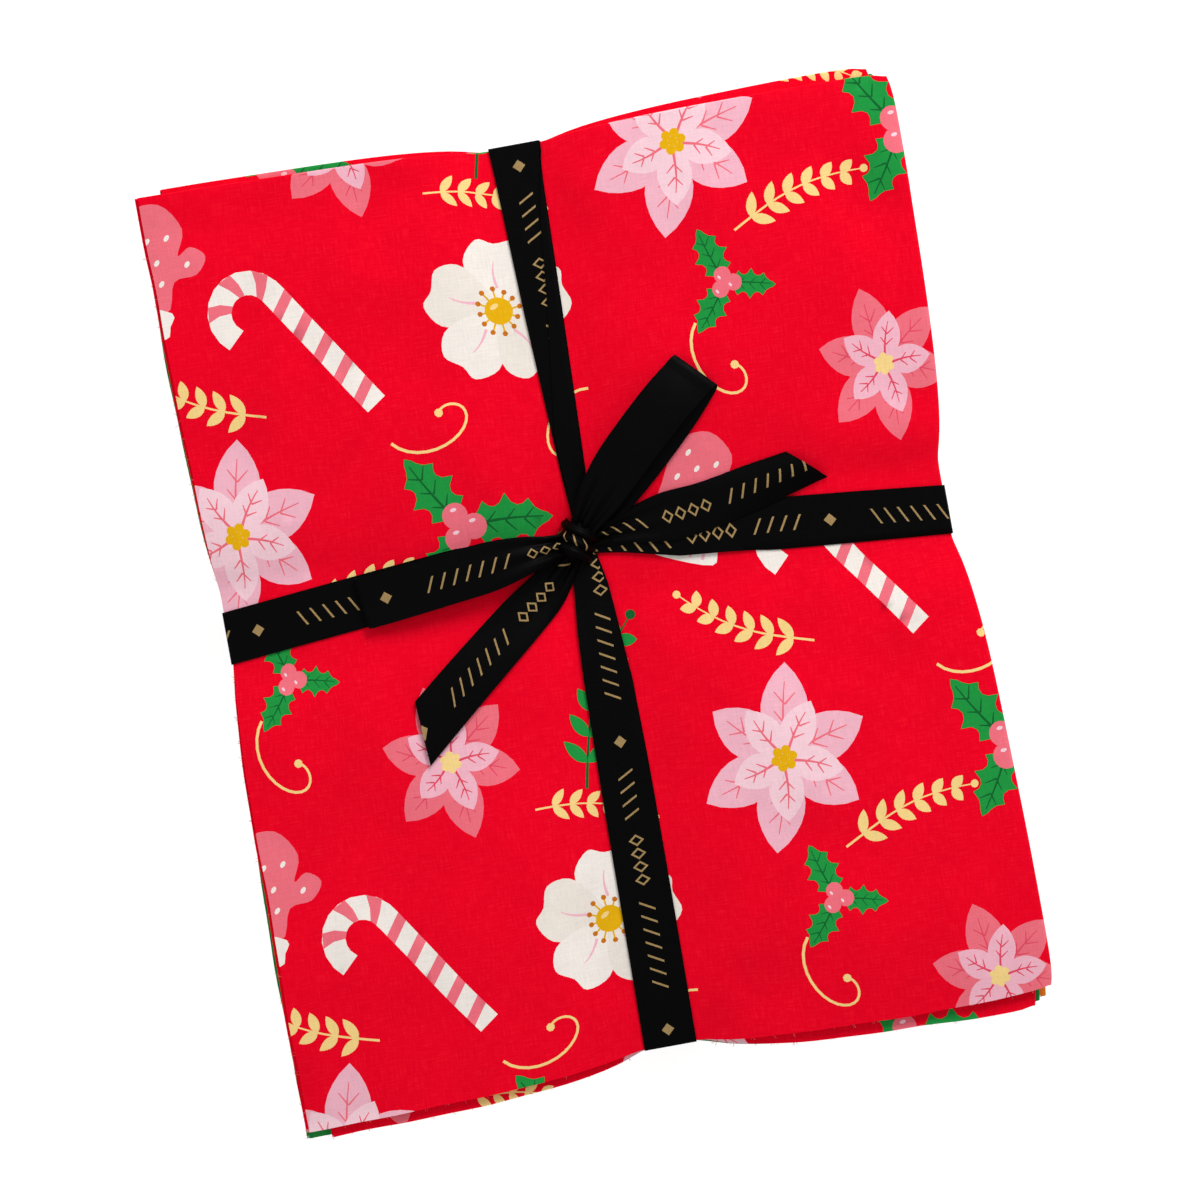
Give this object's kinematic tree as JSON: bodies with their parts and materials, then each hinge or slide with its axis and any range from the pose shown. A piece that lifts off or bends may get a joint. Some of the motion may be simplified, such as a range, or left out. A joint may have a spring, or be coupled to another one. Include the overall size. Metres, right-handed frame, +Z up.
{
  "type": "fat quarter bundle",
  "caption": "Stack of folded quilting cottons, tied both ways with a satin ribbon and a bow.",
  "frame": {"origin": "middle of the bundle's outline, on the surface that it rests on", "axes": "+X towards the folded side edges, +Y along the length, +Z up through the stack to the bow"},
  "size_m": [0.2301, 0.29, 0.0484],
  "materials": {
    "cotton_red": "plain weave, printed, matte",
    "cotton_pink": "plain weave, printed, matte",
    "cotton_green": "plain weave, printed, matte",
    "cotton_dark_green": "plain weave, printed, matte",
    "cotton_white": "plain weave, printed, matte",
    "cotton_gold": "plain weave, printed, matte",
    "cotton_brown": "plain weave, printed, matte",
    "ribbon_black": "woven satin, soft sheen"
  },
  "bodies": {
    "root": {"fat_quarter_01": "cotton_red", "fat_quarter_02": "cotton_pink", "fat_quarter_03": "cotton_green", "fat_quarter_04": "cotton_white", "fat_quarter_05": "cotton_gold", "fat_quarter_06": "cotton_red", "fat_quarter_07": "cotton_dark_green", "fat_quarter_08": "cotton_pink", "fat_quarter_09": "cotton_white", "fat_quarter_10": "cotton_green", "fat_quarter_11": "cotton_brown", "fat_quarter_12": "cotton_red", "fat_quarter_13": "cotton_white", "fat_quarter_14": "cotton_green", "fat_quarter_15": "cotton_red", "fat_quarter_16": "cotton_red", "ribbon": "ribbon_black"}
  },
  "joints": []
}
